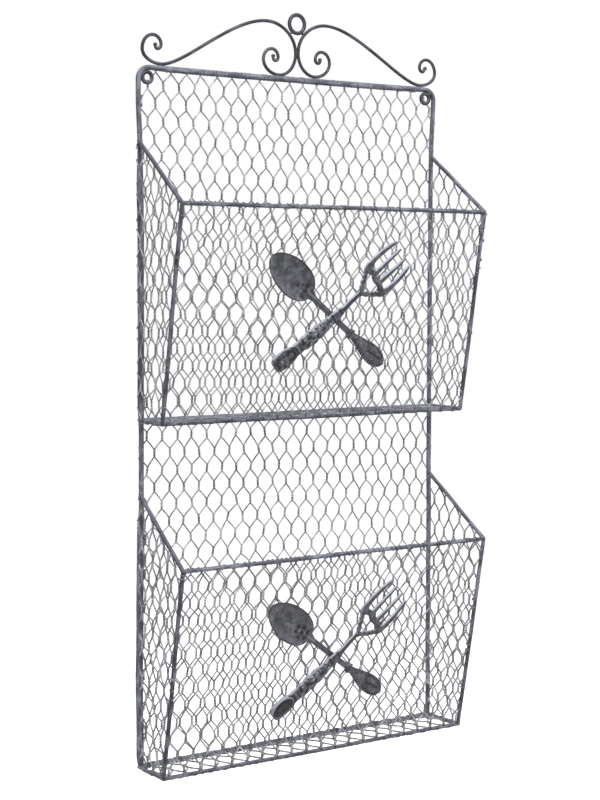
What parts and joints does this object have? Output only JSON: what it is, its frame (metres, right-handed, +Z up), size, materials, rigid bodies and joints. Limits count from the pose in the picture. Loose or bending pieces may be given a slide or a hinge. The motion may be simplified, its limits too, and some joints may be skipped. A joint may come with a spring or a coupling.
{
  "type": "wall file organizer",
  "caption": "Wall-hung wire rack for papers: a bar hoop with slanting pockets of hexagonal netting, scrollwork, hanging rings and crossed cast cutlery ornaments.",
  "frame": {"origin": "middle of the lower back rail, on its wall side, so the wall is the plane y = 0", "axes": "+Y into the wall, -Y out of the pockets, +Z up, +X to the right of someone facing the rack"},
  "size_m": [0.3072, 0.0766, 0.6271],
  "materials": {
    "frame_rod": "dark bluish grey lacquer over steel rod, with paler worn streaks",
    "scroll_rod": "darker grey lacquer, slightly glossy",
    "net_wire": "thin grey lacquer over twisted steel wire",
    "cast_ornament": "dark gunmetal patina, mottled, with paler rubbed high spots"
  },
  "bodies": {
    "root": {"back_frame": "frame_rod", "upper_back_rail": "frame_rod", "lower_back_rail": "frame_rod", "upper_front_top_rail": "frame_rod", "upper_front_bottom_rail": "frame_rod", "upper_left_front_post": "frame_rod", "upper_left_bottom_rod": "frame_rod", "upper_left_slope_rod": "frame_rod", "upper_right_front_post": "frame_rod", "upper_right_bottom_rod": "frame_rod", "upper_right_slope_rod": "frame_rod", "lower_front_top_rail": "frame_rod", "lower_front_bottom_rail": "frame_rod", "lower_left_front_post": "frame_rod", "lower_left_bottom_rod": "frame_rod", "lower_left_slope_rod": "frame_rod", "lower_right_front_post": "frame_rod", "lower_right_bottom_rod": "frame_rod", "lower_right_slope_rod": "frame_rod", "left_scroll": "scroll_rod", "right_scroll": "scroll_rod", "centre_ring": "scroll_rod", "left_hanger_ring": "scroll_rod", "right_hanger_ring": "scroll_rod", "back_net": "net_wire", "upper_left_net": "net_wire", "upper_right_net": "net_wire", "upper_front_net": "net_wire", "upper_bottom_net": "net_wire", "lower_left_net": "net_wire", "lower_right_net": "net_wire", "lower_front_net": "net_wire", "lower_bottom_net": "net_wire", "upper_spoon": "cast_ornament", "upper_fork": "cast_ornament", "lower_spoon": "cast_ornament", "lower_fork": "cast_ornament"}
  },
  "joints": []
}
